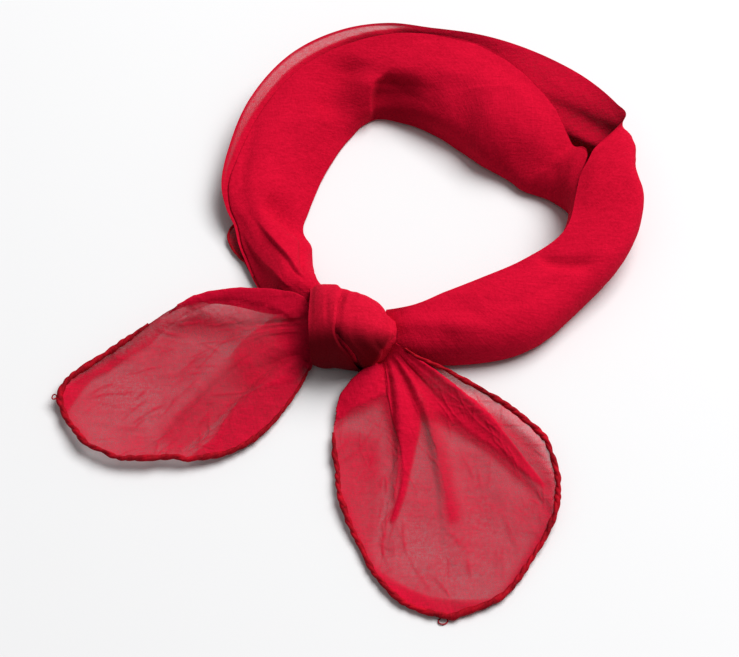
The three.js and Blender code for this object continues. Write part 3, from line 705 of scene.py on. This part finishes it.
def tail_cloth(name, tail, patches, creases, seed, material):
    """Sheet of one tail, whose rows run from line to line and whose columns from the knot to the rim.

    Each line is a cubic through its four stops and each row a smooth curve across the lines. The
    relief along the normals is four smooth random ones, the creases and a step for each added ply.
    """
    lines, centre = tail["lines"], tail["centre"]
    v = np.linspace(-HIDDEN_IN_KNOT, 1, TAIL_STEPS)
    first, last = np.array(tail["seat"])
    stops = [first + (last - first) * lines["seat"][:, None]]
    for share, word in zip(TAIL_STOPS[1:], ("near", "mid", "rim")):
        stops.append(polar(centre, share * lines["reach"], lines[word], lines["z_" + word]))
    curves = [through_stops([stop[:, k, None] for stop in stops], v) for k in range(3)]
    grid = across_lines(np.stack(curves, axis=2), LINE_STEPS)
    u = np.arange(len(grid))[:, None] / LINE_STEPS + 0 * v
    out = np.broadcast_to(v, u.shape)
    x, y = grid[..., 0], grid[..., 1]
    away, angle = np.hypot(x - centre[0], y - centre[1]), np.arctan2(y - centre[1], x - centre[0])
    run = along(grid, 1)
    fine = creases_on(x, y, away, angle, creases)
    extra = patches_on(away, np.degrees(angle) % 360, patches)
    at_rim = RIM_EXTRA * bump(run[:, -1:] - run, RIM_MARGIN) * (0.7 + 0.5 * noise(u * 2, out * 4, seed + 5))
    plies = 1 + extra + CREASE_PLIES * fine + at_rim
    plies = np.minimum(plies + GATHERED * (1 - ease((out - 0.02) / 0.15)), MOST_PLIES)
    swell = (SWELL[0] * noise(u * SWELL[1], out * SWELL[2], seed)
             * (1 - np.clip(out, 0, 1)) ** 1.5 * ease(out / 0.1))
    rumple = RUMPLE[0] * noise(x / RUMPLE[1], y / RUMPLE[2], seed + 1) * ease(out / 0.3)
    crepe = CREPE[0] * noise(x / CREPE[1], y / CREPE[2], seed + 3)
    flutter = FLUTTER[0] * noise(u * FLUTTER[1], out * FLUTTER[2], seed + 2) * ease((out - 0.5) / 0.4)
    relief = (swell + rumple + crepe + flutter + CREASE_HEIGHT * fine
              + PLY_STEP * np.minimum(extra, MOST_STEPS))
    outward = normals(grid)
    grid = with_relief(grid, relief, outward * np.sign(outward[..., 2:]))
    weave = np.stack(turned(x, y, TAIL_BIAS), axis=2)
    return sheet_mesh(name, grid, plies, weave, material), grid


# Hems and thread loops. Their lengths are in mm, and a strand's sizes are shares of the hem's radius.

HEM_RADIUS, HEM_STEP = 1.15, 0.6  # of the rolled hem, and the distance between its sections
FIRST_LINE, FIRST_STEP = 2, 12  # where the hem starts on the rim, and on the edge at the knot
STRAND_RADIUS, STRAND_OFFSET = 0.86, 0.34
STRAND_SIDES, STRAND_GIRTH, TWIST_LENGTH = 10, 5, 12.5
TAPER_IN, TAPER_OUT = 45, 12  # lengths over which the hem swells and narrows at its ends
STRAND_CLEARANCE = 0.05  # lowest that a strand lies above the surface
HEM_PLIES, HEM_SMOOTHING = 4, 2.0
# Unevenness of a hem, as how much and over what length: its girth twice, its path and its twist
HEM_SWELL, HEM_SLUB, HEM_WANDER, TWIST_STRAY = (0.22, 8), (0.16, 2.6), (0.25, 7), (1.6, 10)
# height is that of the loop's middle, turn the way that its longer diameter points, in radians
LOOPS = {
    "right_thread_loop": dict(centre=(30.8, -149.9), height=0.5, radius=1.6, turn=0.3),
    "left_thread_loop": dict(centre=(-138.8, -40.0), height=4.6, radius=1.0, turn=1.2),
}
THREAD_RADIUS, LOOP_LENGTHENED, LOOP_WAVE = 0.28, 1.25, 0.15
LOOP_STEPS, LOOP_SIDES = 40, 8


def uneven(run, amount, seed):
    """Smooth random line along a run, by how much and over what length."""
    return amount[0] * noise(run / amount[1], 0 * run, seed)


def strands_along(name, path, radius, ends, seed, material):
    """Two strands that wind about a wandering path as a screw line, swelling and narrowing as they go."""
    path, run = resampled(path, HEM_STEP)
    path = smoothed(path, 0, HEM_SMOOTHING)
    path[:, 2] = np.maximum(path[:, 2], radius)
    swell = 1 + uneven(run, HEM_SWELL, seed) + uneven(run, HEM_SLUB, seed + 1)
    taper = ends[0] + (1 - ends[0]) * ease(run / TAPER_IN)
    taper = taper * (ends[1] + (1 - ends[1]) * ease((run[-1] - run) / TAPER_OUT))
    wander = uneven(run, HEM_WANDER, seed + 3)[:, None] * np.array([1.0, 1.0, 0.0])
    twist = run * 2 * np.pi / TWIST_LENGTH + uneven(run, TWIST_STRAY, seed + 2)
    strands = []
    for k in range(2):
        tube = rope_grid(path + wander, STRAND_RADIUS * radius * swell * taper, STRAND_SIDES,
                         twist + np.pi * k, STRAND_OFFSET * radius * taper)
        tube[..., 2] = np.maximum(tube[..., 2], STRAND_CLEARANCE)
        girth = np.linspace(0, STRAND_GIRTH, tube.shape[1])
        weave = np.stack(np.broadcast_arrays(run[:, None], girth), axis=2)
        strands.append(sheet_mesh(f"{name}_strand_{k + 1}", tube, HEM_PLIES, weave, material))
    return strands


def rolled_hem(name, grid, seed, material):
    """Strands along the open edge and the rim of a tail's cloth, thinner where they leave the knot."""
    border = np.concatenate([grid[-1, FIRST_STEP:-1], grid[FIRST_LINE * LINE_STEPS:, -1][::-1]])
    return strands_along(name, border, HEM_RADIUS, (0.45, 0.5), seed, material)


def thread_loop(name, material, centre, height, radius, turn):
    """Ring of sewing thread left at a corner: a circle that is drawn out one way and waves twice."""
    at = np.linspace(0, 2 * np.pi, LOOP_STEPS)
    x, y = turned(LOOP_LENGTHENED * radius * np.cos(at), radius * np.sin(at), -turn)
    path = np.stack([centre[0] + x, centre[1] + y, height + LOOP_WAVE * np.sin(2 * at)], axis=1)
    tube = rope_grid(path, THREAD_RADIUS, LOOP_SIDES)
    weave = np.zeros(tube.shape[:2] + (2,))
    return sheet_mesh(name, tube, HEM_PLIES, weave, material)


# The scarf's third corner, which shows under the band's left side: the place of its edge round the ring
CORNER = table("angle radius height", [
    [176.5, 90, 5],
    [179.5, 94.3, 3.6],
    [182.2, 94.9, 2.6],
    [185, 93.3, 2],
    [188, 90.6, 2],
    [191, 88, 2.2],
    [195, 86.6, 2.4],
    [199.5, 85.6, 3],
    [203, 84, 4],
])
CORNER_DEPTH, CORNER_SINK, CORNER_SLOPE = 11, 0.25, 0.10  # inwards from its edge, below it, and its rise
CORNER_PLIES, CORNER_SINGLE = 2.5, 6  # plies added under the band, and the single ply's width outside
CORNER_HEM_RADIUS = 0.8


def third_corner(material, hem_material):
    """Sheet from the corner's edge inwards under the band, and the strands along that edge."""
    angle = np.linspace(CORNER["angle"][0], CORNER["angle"][-1], 60)
    radius, height = columns_at(CORNER, angle)
    inward = np.linspace(0, CORNER_DEPTH, 14)[None]
    grid = polar(RING, radius[:, None] - inward, angle[:, None],
                 height[:, None] - CORNER_SINK + CORNER_SLOPE * inward)
    weave = np.stack([along(grid, 0), along(grid, 1)], axis=2)
    plies = 1 + CORNER_PLIES * ease((inward - CORNER_SINGLE) / 4)
    piece = sheet_mesh("third_corner_cloth", grid, plies, weave, material)
    edge = polar(RING, radius, angle, height)
    return piece, strands_along("third_corner_hem", edge, CORNER_HEM_RADIUS, (0.6, 0.6), 95, hem_material)


# Materials

class Socket:
    """Output of a node. Arithmetic on it adds Math nodes to the material."""

    def __init__(self, tree, output):
        self.tree, self.output = tree, output

    def node(self, kind, inputs=(), output=0, **settings):
        """Any node: its settings are made first, then the values or links of its inputs."""
        made = self.tree.nodes.new(kind)
        for name, value in settings.items():
            setattr(made, name, value)
        for key, value in dict(inputs).items():
            if isinstance(value, Socket):
                self.tree.links.new(value.output, made.inputs[key])
            else:
                made.inputs[key].default_value = value
        return Socket(self.tree, made.outputs[output])

    def into(self, target):
        self.tree.links.new(self.output, target)

    def maths(self, operation, a, b=0.0, clamp=False):
        return self.node("ShaderNodeMath", {0: a, 1: b}, operation=operation, use_clamp=clamp)

    def __add__(self, other):
        return self.maths("ADD", self, other)

    def __mul__(self, other):
        return self.maths("MULTIPLY", self, other)

    def __sub__(self, other):
        return self.maths("SUBTRACT", self, other)

    def __rsub__(self, other):
        return self.maths("SUBTRACT", other, self)

    __radd__, __rmul__ = __add__, __mul__

    def __pow__(self, other):
        return self.maths("POWER", self, other)

    def clamped(self):
        """Held between 0 and 1."""
        return self.maths("ADD", self, 0.0, clamp=True)

    def scaled(self, x, y, z=1.0):
        return self.node("ShaderNodeVectorMath", {0: self, 1: (x, y, z)}, operation="MULTIPLY")

    def noise(self, scale, detail=2.0, rough=0.5):
        values = {"Vector": self, "Scale": scale, "Detail": detail, "Roughness": rough}
        return self.node("ShaderNodeTexNoise", values, noise_dimensions="3D")

    def bumped(self, strength, distance):
        """Normal of a surface that this height raises by up to a distance in metres."""
        values = {"Strength": strength, "Distance": distance, "Height": self}
        return self.node("ShaderNodeBump", values)

    def mix(self, low, high):
        """Colour between low and high by this factor."""
        return self.node("ShaderNodeMix", {0: self, 6: low, 7: high}, output=2, data_type="RGBA")


def new_material(name):
    """Material, the inputs of its shader, and a start from which its nodes are added."""
    material = bpy.data.materials.new(name)
    material.use_nodes = True
    shader = material.node_tree.nodes["Principled BSDF"]
    return material, shader.inputs, Socket(material.node_tree, None)


def constants(shader, values):
    """Numbers and colours that are the same all over a material."""
    for name, value in values.items():
        shader[name].default_value = value


def varied(middle, grains, shares):
    """A middle value that is moved by each grain's departure from its own middle, times its share."""
    for name, share in shares.items():
        middle = middle + (grains[name] - 0.5) * share
    return middle


# How much each grain of the crepe moves its shade and its openness, and how much it raises the surface
CREPE_SHADE = dict(threads=1.1, slub=0.5, grain=0.8, cross=0.4, cloud=0.7)
CREPE_OPENNESS = dict(threads=0.55, slub=0.12, grain=0.12, cloud=0.3)
CREPE_RELIEF = dict(threads=0.35, slub=0.3, grain=0.3, cross=0.25, ridge=0.35)
# Scales of the grains, per metre: along and across a thread, or in x, y and z
ALONG_THREAD, ACROSS_THREAD = 420, 2300
SLUB, CROSS, FIBRE = (110, 900, 500), (760, 90), (1400, 500)
# Scale, detail and roughness of the grains that run no way
CLOUD, RIDGE, GRAIN = (26.0, 3.0), (110.0, 3.0, 0.6), (850.0, 2.0, 0.6)
BLOTCH, STITCH = (150.0,), (420.0,)
HEM_SHADE = dict(fibre=0.8, blotch=1.6, stitch=0.8)
BUMP, CREPE_BUMP, HEM_BUMP = 0.6, 0.0009, 0.0003  # strength, and the distances in metres


def chiffon(name, lit, deep, painted_shade, ply_alpha, specular):
    """Sheer crepe: two crossed sets of uneven threads, more open where there are fewer plies.

    The light that gets through is the openness of one ply to the power of the plies. Each ply past
    the band's four paints shade: it takes the colour a quarter of the way to the painted shade colour.
    """
    material, shader, start = new_material(name)
    weave = start.node("ShaderNodeUVMap", uv_map="weave")
    place = start.node("ShaderNodeTexCoord", output=3)
    plies = start.node("ShaderNodeAttribute", output=2, attribute_name="plies")
    warp = weave.scaled(ALONG_THREAD, ACROSS_THREAD).noise(1.0)
    weft = weave.scaled(ACROSS_THREAD, ALONG_THREAD).noise(1.0)
    grains = {
        "threads": (warp + weft) * 0.5,
        "slub": place.scaled(*SLUB).noise(1.0),
        "cross": weave.scaled(*CROSS).noise(1.0),
        "cloud": place.noise(*CLOUD),
        "ridge": place.noise(*RIDGE),
        "grain": place.noise(*GRAIN),
    }
    # Share of painted shade: a quarter for each ply past the band's four
    under = ((plies - BAND_PLIES) * 0.25).clamped()
    shade = varied(0.5, grains, CREPE_SHADE).clamped()
    under.mix(shade.mix(deep, lit), painted_shade).into(shader["Base Color"])
    openness = (1 - varied(ply_alpha, grains, CREPE_OPENNESS)).clamped()
    (1 - openness ** plies).clamped().into(shader["Alpha"])
    raised = [grains[grain] * share for grain, share in CREPE_RELIEF.items()]
    sum(raised[1:], raised[0]).bumped(BUMP, CREPE_BUMP).into(shader["Normal"])
    constants(shader, {"Roughness": 0.85, "Specular IOR Level": specular, "Sheen Weight": 0.04,
                       "Sheen Roughness": 0.5, "Sheen Tint": (1.0, 0.25, 0.3, 1.0)})
    return material


def hem_thread(name, lit, deep):
    """Tightly rolled edge, darker in the grooves between its stitches."""
    material, shader, start = new_material(name)
    weave = start.node("ShaderNodeUVMap", uv_map="weave")
    place = start.node("ShaderNodeTexCoord", output=3)
    grains = {
        "fibre": weave.scaled(*FIBRE).noise(1.0),
        "blotch": place.noise(*BLOTCH),
        "stitch": place.noise(*STITCH),
    }
    varied(0.5, grains, HEM_SHADE).clamped().mix(deep, lit).into(shader["Base Color"])
    (grains["fibre"] + grains["stitch"]).bumped(BUMP, HEM_BUMP).into(shader["Normal"])
    constants(shader, {"Roughness": 0.75, "Specular IOR Level": 0.15})
    return material


# The scarf. lit: the colour of the threads' tops, deep: between them, painted_shade: the painted shade that
# plies past four give.

folded = chiffon("chiffon_folded", lit=(0.62, 0.007, 0.044, 1.0), deep=(0.38, 0.002, 0.021, 1.0),
                 painted_shade=(0.18, 0.0, 0.008, 1.0), ply_alpha=0.80, specular=0.04)
knotted = chiffon("chiffon_knotted", lit=(0.66, 0.008, 0.048, 1.0), deep=(0.40, 0.002, 0.021, 1.0),
                  painted_shade=(0.15, 0.0, 0.006, 1.0), ply_alpha=0.80, specular=0.1)
sheer = chiffon("chiffon_sheer", lit=(0.62, 0.006, 0.047, 1.0), deep=(0.40, 0.002, 0.023, 1.0),
                painted_shade=(0.24, 0.0, 0.01, 1.0), ply_alpha=0.70, specular=0.06)
rolled = hem_thread("rolled_hem", lit=(0.50, 0.002, 0.020, 1.0), deep=(0.16, 0.0, 0.005, 1.0))

band = neck_band(folded)
core = knot_core(knotted)
side_turn = knot_turn("side_turn_cloth", knotted, **SIDE_TURN_FORM)
wrap = knot_turn("wrap_cloth", knotted, **WRAP_FORM)
right, right_grid = tail_cloth("right_tail_cloth", RIGHT_TAIL, RIGHT_PATCHES, RIGHT_CREASES, 40, sheer)
left, left_grid = tail_cloth("left_tail_cloth", LEFT_TAIL, LEFT_PATCHES, LEFT_CREASES, 50, sheer)
right_hem = rolled_hem("right_hem", right_grid, 60, rolled)
left_hem = rolled_hem("left_hem", left_grid, 70, rolled)
corner, corner_hem = third_corner(folded, rolled)
right_loop, left_loop = (thread_loop(name, rolled, **form) for name, form in LOOPS.items())

DRESSED = [
    (band, "neck_band", "folded_cloth"),
    (corner, None, "folded_cloth"),
    *((strand, None, "rolled_hem") for strand in corner_hem),
    (core, "knot_core", "knot_cloth"),
    (side_turn, "knot_side_turn", "knot_cloth"),
    (wrap, "knot_wrap", "knot_cloth"),
    (right, "tail_right", "sheer_cloth"),
    (left, "tail_left", "sheer_cloth"),
    *((strand, "hem_right", "rolled_hem") for strand in right_hem),
    *((strand, "hem_left", "rolled_hem") for strand in left_hem),
    (right_loop, None, "rolled_hem"),
    (left_loop, None, "rolled_hem"),
]
for piece, node, slot in DRESSED:
    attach(piece, "root")
    if node:
        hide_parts(node)


# Floor, light and camera

def floor_material():
    """Plain pale floor."""
    material, shader, _ = new_material("floor_white")
    constants(shader, {"Base Color": (0.72, 0.72, 0.725, 1.0), "Roughness": 0.9, "Specular IOR Level": 0.1})
    return material


def soft_light(name, place, aim, size, power):
    """Rectangular light at a place, turned to an aim."""
    light = bpy.data.lights.new(name, "AREA")
    light.shape, light.size, light.size_y = "RECTANGLE", size[0], size[1]
    light.energy = power
    lamp = placed(name, light)
    lamp.location = place
    lamp.rotation_euler = (Vector(aim) - Vector(place)).to_track_quat("-Z", "Y").to_euler()


FLOOR = 4.0  # metres from its middle to each side
floor_mesh = bpy.data.meshes.new("floor")
floor_mesh.from_pydata([(-FLOOR, -FLOOR, 0), (FLOOR, -FLOOR, 0), (FLOOR, FLOOR, 0), (-FLOOR, FLOOR, 0)],
                       [], [(0, 1, 2, 3)])
floor_mesh.materials.append(floor_material())
floor = placed("floor", floor_mesh)
floor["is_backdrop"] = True

soft_light("overhead", place=(1.6, 1.35, 3.0), aim=(0, 0, 0), size=(3.0, 2.4), power=196.0)
world = bpy.data.worlds.new("studio")
world.use_nodes = True
constants(world.node_tree.nodes["Background"].inputs, {"Color": (1.0, 1.0, 1.0, 1.0), "Strength": 0.32})
scene = bpy.context.scene
scene.world = world
scene.view_settings.view_transform = "Standard"
scene.view_settings.gamma = 0.86  # keeps the red deep
scene.cycles.transparent_max_bounces = 24  # light passes through many sheer plies

WIDTH, SCALE = 739, 0.45  # pixels, and millimetres to a pixel of the photograph at the ring
DISTANCE, ELEVATION = 1250.0, np.radians(55)
SENSOR = 36.0
camera = bpy.data.cameras.new("camera")
camera.sensor_width = SENSOR
camera.lens = SENSOR * DISTANCE / (WIDTH * SCALE)
camera.clip_end = 20.0
eye = placed("camera", camera)
aim = -ORIGIN * MM
eye.location = aim + DISTANCE * MM * np.array([0, -np.cos(ELEVATION), np.sin(ELEVATION)])
eye.rotation_euler = (np.pi / 2 - ELEVATION, 0, 0)
scene.camera = eye

{"cad": [list(corner) for corner in cad_box], "visual": [list(corner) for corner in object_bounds()]}
